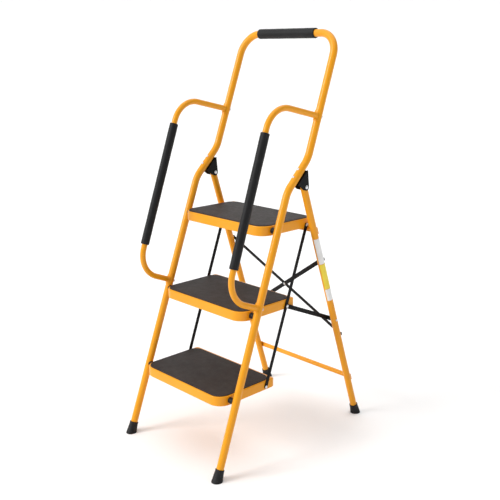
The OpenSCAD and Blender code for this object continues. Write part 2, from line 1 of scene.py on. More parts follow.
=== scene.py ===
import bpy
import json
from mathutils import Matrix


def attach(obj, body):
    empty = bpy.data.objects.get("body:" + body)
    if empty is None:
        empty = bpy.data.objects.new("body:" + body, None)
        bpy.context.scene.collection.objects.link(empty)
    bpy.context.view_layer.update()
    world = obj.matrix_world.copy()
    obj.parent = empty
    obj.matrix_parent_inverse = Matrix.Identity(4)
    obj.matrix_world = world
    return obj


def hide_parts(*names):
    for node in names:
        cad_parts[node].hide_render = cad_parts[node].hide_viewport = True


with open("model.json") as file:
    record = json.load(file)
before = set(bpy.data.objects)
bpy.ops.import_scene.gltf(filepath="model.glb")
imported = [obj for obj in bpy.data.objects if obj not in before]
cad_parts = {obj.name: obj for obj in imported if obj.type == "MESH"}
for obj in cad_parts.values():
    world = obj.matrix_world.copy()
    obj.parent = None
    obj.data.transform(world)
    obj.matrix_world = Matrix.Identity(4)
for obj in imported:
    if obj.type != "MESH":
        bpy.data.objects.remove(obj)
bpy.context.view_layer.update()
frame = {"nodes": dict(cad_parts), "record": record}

import bpy, bmesh, json
from math import sin, cos, tan, pi, radians, degrees, acos, atan, atan2, sqrt
from mathutils import Vector, Matrix

# ---------------------------------------------------------------- sizes, in millimetres, as in the CAD source
MM = 0.001                                   # one millimetre in metres
SIDES = (("left", -1), ("right", 1))
STILE_R, LEG_R, RAIL_R = 12.5, 12.0, 10.0    # radii of the frame, leg and handrail tubes
FIT = 0.1                                    # clearance of a plate that seats on a tube
GAP = 0.4                                    # clearance beside a part that moves

# Front frame
FOOT = 230.0                                 # half of the distance between the front feet
SPREAD, HEIGHT = 702.0, 1385.0               # front feet to rear feet, and floor to the hoop's axis
STILE_LEAN, TAPER = radians(19.8), radians(0.57)
LEAN = tan(STILE_LEAN)
KICK = (892.0, 990.0)                        # heights between which the stiles set back
SETBACK = 62.0
KICK_BEND, HOOP_BEND = 100, 75
TUBE_START = 8                               # height of the tubes' open ends, inside the feet

# Handrails: the corners' places behind the front feet, and how far the ends dip towards the stiles
LOW, HIGH = (51.0, 590.0), (251.5, 1172.0)
LOW_DIP, HIGH_DIP = 22.3, 12.8
RAIL_BEND = 88
RAIL_GRIP_R, RAIL_GRIP_Z = 14.5, (683, 1086)
TOP_GRIP_R, TOP_GRIP_X = 17.0, (-142, 120)

# Rear frame
REAR, LEG_TAPER = 233.0, radians(0.77)
HINGE = (399.0, 900.0)
LEG_LEAN = atan((SPREAD - HINGE[0]) / HINGE[1])
LEG_PAST_HINGE = 13
STRUT_Z = 404.0
UPPER_BAR, LOWER_BAR = (739, 9.0), (152.5, 8.5)
BRACE_Z = (336, 634)
BRACE_R, BRACE_T = 7.5, 2.0

# Steps
STEP_W, STEP_F, STEP_B, STEP_H, TOP = 198.0, 45.0, 215.0, 31.5, 15.0
STEP_CORNER, REAR_CORNER, ROLL = 45, 24, 18.0
MAT_INSET, MAT_REAR, MAT_CORNER, MAT_REAR_CORNER = 5, 21, 40, 32
FIRST_PIVOT, STEP_RISE = 242, 264
LINK_REACH, LINK_DROP = 163, 6
BAR_T = 3.0                                  # thickness of the link bars and struts
LINK_X = STEP_W + GAP
STRUT_X = LINK_X + BAR_T + GAP
SPACER_X = STRUT_X + BAR_T + GAP
MIDDLE_RIVET_X = 205.8                       # under the outer heads on the middle step
PIVOT_HEAD_X, RIVET_HEAD_X = 195.5, 196.5    # under the heads inside the pans
PIVOT_END_X, RIVET_END_X = 195.2, 195.4      # inner ends of their shanks


def low_y(z): return LEAN * z
def up_y(z): return LEAN * z + SETBACK
def stile_x(z): return FOOT - z * sin(TAPER)
def leg_x(z): return REAR - z * sin(LEG_TAPER)
def leg_y(z): return SPREAD - z * tan(LEG_LEAN)
def leg_run(z): return z / cos(LEG_LEAN)
def pivot(i): return (low_y(FIRST_PIVOT + STEP_RISE * i), FIRST_PIVOT + STEP_RISE * i)
def link_pin(i): return (pivot(i)[0] + LINK_REACH, pivot(i)[1] - LINK_DROP)


def at(x, y, z):
    """The point at x, y behind the front feet and height z."""
    return Vector((x, y - SPREAD / 2, z))


def in_stile(side, y, z):
    """The point at y and z in the leaning plane of one stile."""
    return at(side * (FOOT - z * sin(TAPER)), y, z * cos(TAPER))


def leaning(side, taper, lean):
    """The direction up a tube that leans inwards by taper and forwards by lean."""
    return Matrix.Rotation(-side * taper, 3, "Y") @ Matrix.Rotation(lean, 3, "X") @ Vector((0, 0, 1))


def leg_axis(side): return leaning(side, LEG_TAPER, LEG_LEAN)


# ---------------------------------------------------------------- materials
def mat(name, build):
    """A material whose nodes, round one Principled shader, are made by build."""
    m = bpy.data.materials.new(name)
    m.use_nodes = True
    nt = m.node_tree
    nt.nodes.clear()
    out = nt.nodes.new("ShaderNodeOutputMaterial")
    sh = nt.nodes.new("ShaderNodeBsdfPrincipled")
    nt.links.new(sh.outputs[0], out.inputs[0])
    build(nt, sh)
    return m


def node(nt, kind, inputs=None, **attrs):
    """A shader node with its attributes set, and its inputs set or linked."""
    n = nt.nodes.new("ShaderNode" + kind)
    for k, v in attrs.items():
        setattr(n, k, v)
    for k, v in (inputs or {}).items():
        if isinstance(v, bpy.types.NodeSocket):
            nt.links.new(v, n.inputs[k])
        else:
            n.inputs[k].default_value = v
    return n


def object_coords(nt): return node(nt, "TexCoord").outputs["Object"]


def ramp(nt, fac, stops):
    """The colour at fac between stops, each (place, colour)."""
    r = nt.nodes.new("ShaderNodeValToRGB")
    nt.links.new(fac, r.inputs[0])
    els = r.color_ramp.elements
    els[0].position, els[1].position = stops[0][0], stops[-1][0]
    for place, _ in stops[1:-1]:
        els.new(place)
    for e, (place, colour) in zip(els, stops):
        e.position = place
        e.color = (*colour, 1)
    return r.outputs[0]


def noise(nt, vec, scale, detail, rough=0.5):
    inputs = {"Vector": vec, "Scale": scale, "Detail": detail, "Roughness": rough}
    return node(nt, "TexNoise", inputs).outputs[0]


def bumped(nt, sh, height, dist, strength, under=None):
    """Bumps the shader's surface by height, over the bump under it, if there is one."""
    b = node(nt, "Bump", {"Height": height, "Distance": dist, "Strength": strength})
    if under is not None:
        nt.links.new(under, b.inputs["Normal"])
    nt.links.new(b.outputs[0], sh.inputs["Normal"])
    return b.outputs[0]


def skin(nt, sh, tone, stops, rough, wear=None):
    """Colours the shader by tone, and sets its roughness between two limits by wear, or by tone again."""
    nt.links.new(ramp(nt, tone, stops), sh.inputs["Base Color"])
    fac = tone if wear is None else wear
    r = node(nt, "MapRange", {"Value": fac, "To Min": rough[0], "To Max": rough[1]})
    nt.links.new(r.outputs[0], sh.inputs["Roughness"])


def coat_paint(dark, middle, light, rough, coat, spec):
    """Sprayed paint: cloudy tone, a fine orange peel and a thin coat."""
    def build(nt, sh):
        co = object_coords(nt)
        stops = [(0.25, dark), (0.5, middle), (0.75, light)]
        skin(nt, sh, noise(nt, co, 6.0, 4.0), stops, (rough - 0.05, rough + 0.06), noise(nt, co, 45.0, 3.0))
        bumped(nt, sh, noise(nt, co, 520.0, 2.0), 0.00006, 0.6)
        sh.inputs["Coat Weight"].default_value = coat
        sh.inputs["Coat Roughness"].default_value = 0.12
        sh.inputs["Specular IOR Level"].default_value = spec
    return build


def moulded(tone, stops, rough, grain, **shader):
    """An even finish: tone is a noise's arguments, and grain a finer noise's, with its depth and strength."""
    def build(nt, sh):
        co = object_coords(nt)
        skin(nt, sh, noise(nt, co, *tone), stops, rough)
        scale, detail, depth, strength = grain
        bumped(nt, sh, noise(nt, co, scale, detail), depth, strength)
        if "spec" in shader:
            sh.inputs["Specular IOR Level"].default_value = shader["spec"]
        if "metallic" in shader:
            sh.inputs["Metallic"].default_value = shader["metallic"]
    return build


def build_foam(nt, sh):
    """Closed-cell foam: small cells under a slow unevenness."""
    co = object_coords(nt)
    tone = noise(nt, co, 38.0, 5.0, 0.6)
    skin(nt, sh, tone, [(0.3, (0.006, 0.006, 0.0066)), (0.7, (0.012, 0.012, 0.013))], (0.44, 0.6))
    cells = node(nt, "TexVoronoi", {"Vector": co, "Scale": 900.0}).outputs["Distance"]
    pores = bumped(nt, sh, cells, 0.00025, 0.8)
    bumped(nt, sh, noise(nt, co, 260.0, 3.0), 0.00025, 0.5, pores)
    sh.inputs["Specular IOR Level"].default_value = 0.22


def build_mat_rubber(nt, sh):
    """Brown-black rubber with fine ribs from side to side."""
    co = object_coords(nt)
    tone = noise(nt, co, 14.0, 5.0, 0.6)
    stops = [(0.3, (0.019, 0.0145, 0.0135)), (0.7, (0.030, 0.024, 0.0225))]
    skin(nt, sh, tone, stops, (0.5, 0.68), noise(nt, co, 60.0, 4.0))
    wave = node(nt, "TexWave", {"Vector": co, "Scale": 80.0, "Distortion": 0.0}, wave_type="BANDS",
                bands_direction="Y", wave_profile="SIN").outputs["Color"]
    ribs = bumped(nt, sh, wave, 0.0004, 0.55)
    bumped(nt, sh, noise(nt, co, 420.0, 3.0), 0.0002, 0.5, ribs)
    sh.inputs["Specular IOR Level"].default_value = 0.25


BUILDERS = {
    "enamel": coat_paint((0.77, 0.305, 0.007), (0.80, 0.325, 0.009), (0.83, 0.345, 0.013), 0.32, 0.12, 0.24),
    "dark_paint": coat_paint((0.004, 0.004, 0.0045), (0.006, 0.006, 0.0065), (0.009, 0.009, 0.0095),
                             0.44, 0.0, 0.10),
    "foam_grip": build_foam,
    "step_mat": build_mat_rubber,
    "black_rubber": moulded((55.0, 5.0, 0.6), [(0.3, (0.007, 0.007, 0.0075)), (0.75, (0.014, 0.014, 0.0145))],
                            (0.48, 0.66), (650.0, 3.0, 0.00015, 0.6), spec=0.25),
    "black_plastic": moulded((80.0, 3.0), [(0.3, (0.006, 0.006, 0.0065)), (0.7, (0.011, 0.011, 0.0115))],
                             (0.34, 0.46), (1100.0, 2.0, 0.00006, 0.6), spec=0.22),
    "zinc": moulded((160.0, 4.0, 0.6), [(0.3, (0.56, 0.57, 0.59)), (0.7, (0.74, 0.75, 0.77))],
                    (0.24, 0.4), (900.0, 2.0, 0.00004, 0.6), metallic=1.0),
    "label_white": moulded((30.0, 3.0), [(0.3, (0.74, 0.74, 0.73)), (0.7, (0.82, 0.82, 0.81))],
                           (0.3, 0.42), (300.0, 2.0, 0.00005, 0.4)),
    "label_yellow": moulded((30.0, 3.0), [(0.3, (0.80, 0.62, 0.03)), (0.7, (0.86, 0.70, 0.06))],
                            (0.3, 0.42), (300.0, 2.0, 0.00005, 0.4)),
}
MATERIALS = {name: mat(name, build) for name, build in BUILDERS.items()}
for row in frame["record"]["subparts"]:
    slots = frame["nodes"][row["node"]].data.materials
    slots.clear()
    slots.append(MATERIALS[row["material_slot"]])


# ---------------------------------------------------------------- mesh helpers
def piece(name, parts, slot, body, *nodes, angle=35.0):
    """Joins parts, each (verts in mm, faces), into one smooth piece whose edges are sharp past the angle."""
    bm = bmesh.new()
    for verts, faces in parts:
        made = [bm.verts.new(Vector(v) * MM) for v in verts]
        for f in faces:
            bm.faces.new([made[i] for i in f])
    bmesh.ops.recalc_face_normals(bm, faces=bm.faces)
    for f in bm.faces:
        f.smooth = True
    for e in bm.edges:
        if len(e.link_faces) == 2 and e.calc_face_angle(0) > radians(angle):
            e.smooth = False
    me = bpy.data.meshes.new(name)
    bm.to_mesh(me)
    bm.free()
    me.materials.append(MATERIALS[slot])
    o = bpy.data.objects.new(name, me)
    bpy.context.scene.collection.objects.link(o)
    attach(o, body)
    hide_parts(*nodes)
    return o


def frames_along(pts):
    """Parallel-transport frames along a polyline."""
    ts = []
    for i in range(len(pts)):
        a, b = pts[max(i - 1, 0)], pts[min(i + 1, len(pts) - 1)]
        ts.append((b - a).normalized())
    up = Vector((1, 0, 0)) if abs(ts[0].x) < 0.9 else Vector((0, 1, 0))
    u = (up - ts[0] * up.dot(ts[0])).normalized()
    out = []
    for i, t in enumerate(ts):
        if i:
            u = ts[i - 1].rotation_difference(t) @ u
            u = (u - t * u.dot(t)).normalized()
        out.append((pts[i], u, t.cross(u)))
    return out


def circle(o, x, y, r, seg):
    """The points of a circle round o in the plane of x and y."""
    turns = [2 * pi * j / seg for j in range(seg)]
    return [o + x * (r * cos(g)) + y * (r * sin(g)) for g in turns]


def loft(rings, cap=(True, True)):
    """Closed walls between rings of equal length, with the first and last ring capped as asked."""
    n = len(rings[0])
    verts = [p for r in rings for p in r]
    faces = []
    for k in range(len(rings) - 1):
        for j in range(n):
            a, b = k * n + j, k * n + (j + 1) % n
            faces.append((a, b, b + n, a + n))
    if cap[0]:
        faces.append(tuple(reversed(range(n))))
    if cap[1]:
        faces.append(tuple(range((len(rings) - 1) * n, len(rings) * n)))
    return verts, faces


def sweep(pts, r, seg):
    """An open tube of radius r along pts."""
    return loft([circle(p, u, v, r, seg) for p, u, v in frames_along(pts)], (False, False))


def fillet(vs, radii, step):
    """A polyline through vs with each inner vertex rounded to its radius, in steps of about step degrees."""
    pts = [vs[0]]
    for i in range(1, len(vs) - 1):
        a, b, c = vs[i - 1], vs[i], vs[i + 1]
        u, w = (a - b).normalized(), (c - b).normalized()
        half = acos(max(-1, min(1, u.dot(w)))) / 2
        r = radii[i - 1]
        t = r / tan(half)
        o = b + (u + w).normalized() * (r / sin(half))
        s, e = b + u * t - o, b + w * t - o
        ang = s.angle(e)
        n = max(6, int(degrees(ang) / step))
        axis = s.cross(e).normalized()
        pts += [o + Matrix.Rotation(ang * k / n, 3, axis) @ s for k in range(n + 1)]
    pts.append(vs[-1])
    return pts


def basis(axis):
    """Three axes at right angles, the last of them along axis."""
    z = Vector(axis).normalized()
    x = Vector((0, 0, 1)).cross(z)
    x = Vector((1, 0, 0)) if x.length < 1e-3 else x.normalized()
    return x, z.cross(x), z


def turned(o, axis, profile, seg=32, cap=(True, True)):
    """A body of revolution round axis at o; profile is [(height, radius), ...]."""
    x, y, z = basis(axis)
    return loft([circle(o + z * h, x, y, r, seg) for h, r in profile], cap)


def dome(o, axis, r, h):
    """A rivet head: a low dome on a short rim."""
    rim, steps = 0.3, 7
    prof = [(0, r), (rim, r)]
    for k in range(1, steps + 1):
        a = k * pi / 2 / steps
        prof.append((rim + (h - rim) * sin(a), max(r * cos(a), 0.05)))
    return turned(o, axis, prof, 28)


def hexhead(o, axis, r, h):
    """A hexagon bolt head on a washer face."""
    x, y, z = basis(axis)
    washer = turned(o, axis, [(0, r), (0.6, r), (0.8, r - 0.3), (0.81, r * 0.9)], 30)
    prof = ((0.7, r * 0.97), (h - 0.7, r * 0.97), (h, r * 0.80))
    return [washer, loft([circle(o + z * up, x, y, across, 6) for up, across in prof])]


def nut(o, axis, r, h):
    """A hexagon nut with the end of its bolt standing out."""
    shank = turned(o, axis, [(h * 0.5, r * 0.55), (h - 0.5, r * 0.55), (h, r * 0.45)], 20)
    return hexhead(o, axis, r, h * 0.62) + [shank]


def plate(outline, place, t, c=0.35):
    """A counter-clockwise, nearly convex outline of (u, v) given the thickness t and edge chamfers c."""
    n = len(outline)
    inner = []
    for i in range(n):
        a, b, d = (Vector(outline[(i + k) % n]) for k in (-1, 0, 1))
        along = (b - a).normalized() + (d - b).normalized()
        inward = Vector((-along.y, along.x))
        inward = inward.normalized() if inward.length > 1e-9 else Vector((0, 0))
        inner.append(b + inward * c)
    levels = ((inner, 0), (outline, c), (outline, t - c), (inner, t))
    return loft([[place(p[0], p[1], w) for p in ring] for ring, w in levels])


def capsule(a, b, r, seg=14):
    """The outline of a flat bar with round ends, counter-clockwise."""
    a, b = Vector(a), Vector(b)
    base = atan2(b.y - a.y, b.x - a.x)
    pts = []
    for end, start in ((b, base - pi / 2), (a, base + pi / 2)):
        turns = [start + pi * k / seg for k in range(seg + 1)]
        pts += [(end.x + r * cos(g), end.y + r * sin(g)) for g in turns]
    return pts


def counter_clockwise(poly):
    """The same polygon, reversed if it runs clockwise."""
    ends = zip(poly, poly[1:] + poly[:1])
    return poly if sum(p[0] * q[1] - q[0] * p[1] for p, q in ends) > 0 else poly[::-1]


def side_place(side, x0):
    """Places a drawing of the side view as a plate whose inner face is at x0."""
    return lambda u, v, w: at(side * (x0 + w), u, v)


# ---------------------------------------------------------------- front frame
def stile_path(side):
    """The axis of one stile, from its open end in the foot to the corner of the hoop."""
    corners = ((low_y(TUBE_START), TUBE_START), (low_y(KICK[0]), KICK[0]), (up_y(KICK[1]), KICK[1]),
               (up_y(HEIGHT), HEIGHT))
    return [in_stile(side, y, z) for y, z in corners]


left, right = stile_path(-1), stile_path(1)
bends = [KICK_BEND, KICK_BEND, HOOP_BEND, HOOP_BEND, KICK_BEND, KICK_BEND]
piece("frame_tube", [sweep(fillet(left + right[::-1], bends, 2.5), STILE_R, 48)],
      "enamel", "front_frame", "front_frame_tube")


def grip(name, a, b, r, bore, cad):
    """A foam sleeve from a to b with soft ends and a slightly uneven skin."""
    axis, length = (b - a).normalized(), (b - a).length
    prof = [(0.0, bore + FIT), (0.0, r - 1.6), (0.35, r - 0.8), (1.0, r - 0.25), (2.0, r)]
    n = int(length / 6)
    for k in range(1, n):
        s = k / n
        prof.append((2 + (length - 4) * s, r + 0.10 * sin(23 * s) + 0.08 * sin(61 * s + 1)))
    prof += [(length - 2.0, r), (length - 1.0, r - 0.25), (length - 0.35, r - 0.8), (length, r - 1.6),
             (length, bore + FIT)]
    o = piece(name, [turned(a, axis, prof, 48, (False, False))], "foam_grip", "front_frame", cad, angle=60)


bar_mid = (left[3] + right[3]) / 2
grip("top_foam_grip", *(bar_mid + Vector((x, 0, 0)) for x in TOP_GRIP_X), TOP_GRIP_R, STILE_R, "top_grip")


# ---------------------------------------------------------------- handrails
def dip_dir(dip): return (cos(radians(dip)), -sin(radians(dip)))


def on_stile(p, dip, setback):
    """Where the handrail's end from p, dipping, meets the stile's axis."""
    d = dip_dir(dip)
    t = (setback + LEAN * p[1] - p[0]) / (d[0] - LEAN * d[1])
    return (p[0] + d[0] * t, p[1] + d[1] * t)


def past_stile(side, foot, dip, reach):
    """The point that far behind the stile's axis, in line with the handrail's end."""
    d = dip_dir(dip)
    return in_stile(side, foot[0] + d[0] * reach, foot[1] + d[1] * reach)


RAIL_ENDS = ((on_stile(LOW, LOW_DIP, 0), LOW_DIP), (on_stile(HIGH, HIGH_DIP, SETBACK), HIGH_DIP))


def saddle(side, foot, dip):
    """A curved plate that seats the end of the handrail on the stile."""
    half_h, bevel, steps = 17, 0.5, 30
    c = in_stile(side, *foot)
    up = (in_stile(side, foot[0] + LEAN * 100, foot[1] + 100) - c).normalized()
    out = past_stile(side, foot, dip, -100) - c
    out = (out - up * out.dot(up)).normalized()
    across = up.cross(out)
    rings = []
    for k in range(steps + 1):
        g = radians(-95 + 190 * k / steps)
        edge = min(k, steps - k) / 3.0
        h = half_h - (3.5 * (1 - min(edge, 1)) ** 2)
        d = out * cos(g) + across * sin(g)
        inner = STILE_R + 0.05
        outer = STILE_R + 2.05 - (bevel if k in (0, steps) else 0)
        prof = [(-h, inner), (-h, outer - bevel), (-h + bevel, outer), (h - bevel, outer), (h, outer - bevel),
                (h, inner)]
        rings.append([c + up * a + d * r for a, r in prof])
    return loft(rings)


WELD = [(-1.5, 11.9), (0.2, 11.6), (1.2, 11.0), (2.0, 10.3), (2.4, 9.9)]
for name, s in SIDES:
    inside = [(foot[0] - 7 * dip_dir(dip)[0], foot[1] - 7 * dip_dir(dip)[1]) for foot, dip in RAIL_ENDS]
    rail = fillet([in_stile(s, *p) for p in (inside[0], LOW, HIGH, inside[1])], [RAIL_BEND, RAIL_BEND], 2.5)
    welds = []
    for foot, dip in RAIL_ENDS:
        c = past_stile(s, foot, dip, -14.4)
        welds.append(turned(c, past_stile(s, foot, dip, -20) - c, WELD, 36, (False, False)))
    piece(f"{name}_rail_tube", [sweep(rail, RAIL_R, 40)] + welds, "enamel", "front_frame", f"{name}_handrail")
    slope = (HIGH[0] - LOW[0]) / (HIGH[1] - LOW[1])
    a, b = (in_stile(s, LOW[0] + slope * (z - LOW[1]), z) for z in RAIL_GRIP_Z)
    grip(f"{name}_rail_foam", a, b, RAIL_GRIP_R, RAIL_R, f"{name}_rail_grip")

piece("rail_saddle_plates", [saddle(s, foot, dip) for _, s in SIDES for foot, dip in RAIL_ENDS],
      "enamel", "front_frame", "rail_saddles")

heads = []
for _, s in SIDES:
    for foot, dip in RAIL_ENDS:
        c = past_stile(s, foot, dip, 13.0)
        heads += hexhead(c, past_stile(s, foot, dip, 50) - c, 6.0, 4.2)
piece("rail_bolt_heads", heads, "zinc", "front_frame", "rail_bolts")

# ---------------------------------------------------------------- hinge brackets
CHEEK_TOP, CHEEK_HEEL = Vector((404, 955.5)), Vector((381, 893))
CHEEK_T, LOBE_R = 1.5, 11.5
BRACKET_BOLTS = (52, 84)                     # places of its bolts along the kick
hinge = Vector(HINGE)
kick_start, kick_end = Vector((low_y(KICK[0]), KICK[0])), Vector((up_y(KICK[1]), KICK[1]))
kick_dir = (kick_end - kick_start).normalized()
kick_out = Vector((kick_dir.y, -kick_dir.x))


def web(along, out):
    """A point of the bracket's web, along the kicked length of the stile and out of its rear face."""
    return kick_start + kick_dir * along + kick_out * (12.7 + out)


def tangent(p, c, r, way):
    """The point where a line from p touches the circle of radius r round c."""
    g = atan2(p.y - c.y, p.x - c.x) - way * acos(r / (c - p).length)
    return c + Vector((cos(g), sin(g))) * r


lobe_ends = tangent(CHEEK_HEEL, hinge, LOBE_R, -1), tangent(CHEEK_TOP, hinge, LOBE_R, 1)
g1, g2 = (atan2(t.y - hinge.y, t.x - hinge.x) for t in lobe_ends)
if g2 < g1:
    g2 += 2 * pi
turns = [g1 + (g2 - g1) * k / 16 for k in range(17)]
lobe = [(hinge.x + LOBE_R * cos(g), hinge.y + LOBE_R * sin(g)) for g in turns]
web_low, web_high = tuple(web(40, 0)), tuple(web(102, 0))
cheek = counter_clockwise([web_low, tuple(CHEEK_HEEL)] + lobe + [tuple(CHEEK_TOP), web_high])
back = counter_clockwise([tuple(web(*p)) for p in ((42, 0.1), (42, 2), (100, 2), (100, 0.1))])
hinge_x = leg_x(HINGE[1])
for name, s in SIDES:
    inner, outer = hinge_x - LEG_R - 2.0, hinge_x + LEG_R + 0.5
    parts = [plate(cheek, side_place(s, x), CHEEK_T) for x in (inner, outer)]
    parts.append(plate(back, side_place(s, inner + 0.4), outer - inner + 0.7, 0.2))
    piece(f"{name}_hinge_channel", parts, "dark_paint", "front_frame", f"{name}_hinge_bracket")

heads = []
for _, s in SIDES:
    for along in BRACKET_BOLTS:
        p = kick_start + kick_dir * along
        front = in_stile(s, *(p - kick_out * (STILE_R + FIT)))
        rear = in_stile(s, *(p + kick_out * 14.8))
        axis = in_stile(s, *(p - kick_out * 60)) - front
        heads.append(dome(front, axis, 4.2, 1.8))
        heads += hexhead(rear, -axis, 5.0, 3.0)
piece("bracket_bolt_heads", heads, "zinc", "front_frame", "bracket_bolts")

half = LEG_R + 2.0
pins = []
for _, s in SIDES:
    shank = [(0, 4), (2 * half + 2, 4)]
    pins.append(turned(at(s * (hinge_x - half - 1), *HINGE), (s, 0, 0), shank, 28))
    pins.append(dome(at(s * (hinge_x + half), *HINGE), (s, 0, 0), 6.5, 2.2))
    pins.append(dome(at(s * (hinge_x - half), *HINGE), (-s, 0, 0), 6.5, 2.2))
piece("hinge_rivets", pins, "zinc", "front_frame", "hinge_pins")


# ---------------------------------------------------------------- feet
def boot(foot, axis, tube_r):
    """A ribbed rubber foot round a leaning tube, cut level with the floor."""
    axis = Vector(axis).normalized()
    prof = [(-12, 18.4), (3, 17.75)]
    for t in (6.0, 11.0, 16.0):
        r = 18 - 0.1 * t
        prof += [(t - 1.2, r + 0.02), (t - 0.7, r - 0.55), (t + 0.7, r - 0.6), (t + 1.2, r - 0.02)]
    prof += [(24, 15.6), (33, 14.7), (34, 15.0), (38.6, 14.9), (39.7, 14.5), (40, 13.6), (40, tube_r + FIT),
             (34, tube_r + FIT)]
    verts, faces = turned(foot, axis, prof, 48, (True, False))
    return [v + axis * (-v.z / axis.z) if v.z < 0 else v for v in verts], faces


front_boots = [boot(at(s * FOOT, 0, 0), leaning(s, TAPER, -STILE_LEAN), STILE_R) for _, s in SIDES]
piece("front_boots", front_boots, "black_rubber", "front_frame", "front_feet", angle=50)
rear_boots = [boot(at(s * REAR, SPREAD, 0), leg_axis(s), LEG_R) for _, s in SIDES]
piece("rear_boots", rear_boots, "black_rubber", "rear_frame", "rear_feet", angle=50)

# ---------------------------------------------------------------- step pivots
spacers, bolts = [], []
for _, s in SIDES:
    for i in range(3):
        y, z = pivot(i)
        length = stile_x(z) - 4 - LINK_X
        prof = [(0, 8.6), (0, 9.4), (0.6, 10), (4.6, 10), (4.8, 9.5), (5.4, 9.5), (5.6, 10), (length, 10)]
        spacers.append(turned(at(s * LINK_X, y, z), (s, 0, 0), prof, 36, (True, False)))
        bolts.append(turned(at(s * PIVOT_END_X, y, z), (s, 0, 0), [(0, 4), (20, 4)], 20))
        bolts += hexhead(at(s * PIVOT_HEAD_X, y, z), (-s, 0, 0), 7.0, 3.5)
piece("pivot_spacers", spacers, "black_plastic", "front_frame", "step_spacers")
piece("pivot_bolt_heads", bolts, "zinc", "front_frame", "step_pivot_bolts")


# ---------------------------------------------------------------- steps
def roll_drop(y):
    """How far the rolled rear edge lies below the flat top, at y behind the pivot."""
    a = y - (STEP_B - ROLL)
    return 0.0 if a <= 0 else ROLL - sqrt(max(ROLL * ROLL - a * a, 0))


def plan(w, f, b, rf, rb):
    """A rounded rectangle from y = f to y = b and x = -w to w, counter-clockwise, alike at any inset."""
    pts = []
    def arc(cx, cy, r, start, steps=14):
        for j in range(steps + 1):
            g = radians(start + 90 * j / steps)
            pts.append((cx + r * cos(g), cy + r * sin(g)))
    side_y = [170, 150, 125, 100, 75, 50, 35, 20]
    side_y = [min(y, b - rb - 0.1) - 0.02 * k for k, y in enumerate(side_y)]
    arc(w - rb, b - rb, rb, 0)
    pts += [(w - rb - 2 * (w - rb) * j / 12, b) for j in range(1, 12)]
    arc(-w + rb, b - rb, rb, 90)
    pts += [(-w, y) for y in side_y]
    arc(-w + rf, f + rf, rf, 180)
    pts += [(-w + rf + 2 * (w - rf) * j / 12, f) for j in range(1, 12)]
    arc(w - rf, f + rf, rf, 270)
    pts += [(w, y) for y in side_y[::-1]]
    return pts


def pan(i):
    """A pressed sheet pan: its inside, the hem of its walls, its outside and its rolled top edge."""
    py, pz = pivot(i)
    def outline(inset):
        return plan(STEP_W - inset, -STEP_F + inset, STEP_B - inset, STEP_CORNER - inset,
                    max(REAR_CORNER - inset, 1.0))
    def level(inset, up):
        return [at(x, py + y, pz + TOP - STEP_H + up) for x, y in outline(inset)]
    def under_top(inset, down):
        return [at(x, py + y, pz + TOP - roll_drop(y) - down) for x, y in outline(inset)]
    inside = ((24, 1.5), (12, 1.5), (7, 1.5), (4.5, 1.6), (2.6, 2.6), (1.6, 4.6))
    hem = ((1.5, 2.2), (1.9, 0.8), (1.2, 0.1), (0.5, 0), (0.05, 0.6), (0, 1.4))
    rings = [under_top(*r) for r in inside] + [level(*r) for r in hem] + [under_top(0, 3.4)]
    for g in (22, 45, 68, 90):
        a = radians(g)
        rings.append(under_top(3 * (1 - cos(a)), 3 * (1 - sin(a))))
    rings += [under_top(inset, 0.0) for inset in (4, 5.2, 6.6, 8, 10, 12, 14, 16, 18, 20, 23)]
    return [loft(rings)]


def tread(i):
    """A rubber mat with a rounded rim and one groove just inside it."""
    py, pz = pivot(i)
    def ring(inset, up):
        pts = plan(STEP_W - MAT_INSET - inset, -STEP_F + MAT_INSET + inset, STEP_B - MAT_REAR - inset,
                   MAT_CORNER - inset, MAT_REAR_CORNER - inset)
        return [at(x, py + y, pz + TOP + up) for x, y in pts]
    rim = ((0.3, 0.0), (0, 0.4), (0, 1.6), (0.2, 2.1), (0.6, 2.4), (1.1, 2.5))
    groove = ((5.2, 2.5), (5.5, 2.25), (6.3, 2.25), (6.6, 2.5), (9.0, 2.5))
    return [loft([ring(*r) for r in rim + groove])]


def rivet_parts(i, reach):
    """The link rivets of one step, with their outer heads at reach."""
    parts = []
    y, z = link_pin(i)
    shank = [(0, 3), (reach - RIVET_END_X, 3)]
    for _, s in SIDES:
        parts.append(turned(at(s * RIVET_END_X, y, z), (s, 0, 0), shank, 20))
        parts.append(dome(at(s * RIVET_HEAD_X, y, z), (-s, 0, 0), 5.5, 2.0))
        parts.append(dome(at(s * reach, y, z), (s, 0, 0), 5.5, 2.0))
    return parts


STEPS = (("lower_step", "lower", STRUT_X), ("middle_step", "middle", MIDDLE_RIVET_X),
         ("platform", "platform", STRUT_X))
for i, (body, stem, reach) in enumerate(STEPS):
    piece(f"{stem}_pressed_pan", pan(i), "enamel", body, f"{stem}_pan", angle=50)
    piece(f"{stem}_tread", tread(i), "step_mat", body, f"{stem}_mat", angle=50)
    piece(f"{stem}_rivet_heads", rivet_parts(i, reach), "zinc", body, f"{stem}_rivets")

# Hooks on the platform, which catch the upper crossbar from behind
bar_y = leg_y(UPPER_BAR[0]) + 14 * cos(LEG_LEAN)
bar_z = UPPER_BAR[0] + 14 * sin(LEG_LEAN)
hook_y = bar_y + 9.4
base = pivot(2)[1] + TOP - STEP_H
hook = [(bar_y - 18, base + 12), (bar_y - 18, base), (hook_y, base), (hook_y, bar_z - 6)]
for g in (225, 270, 315):
    hook.append((hook_y + 4 + 4 * cos(radians(g)), bar_z - 5.5 + 3.5 * sin(radians(g))))
hook += [(hook_y + 8, bar_z - 4), (hook_y + 8, base + 9), (hook_y + 5, base + 12)]
hook = counter_clockwise(hook)
piece("platform_side_hooks", [plate(hook, side_place(s, STEP_W), 2.5) for _, s in SIDES],
      "enamel", "platform", "platform_hooks")

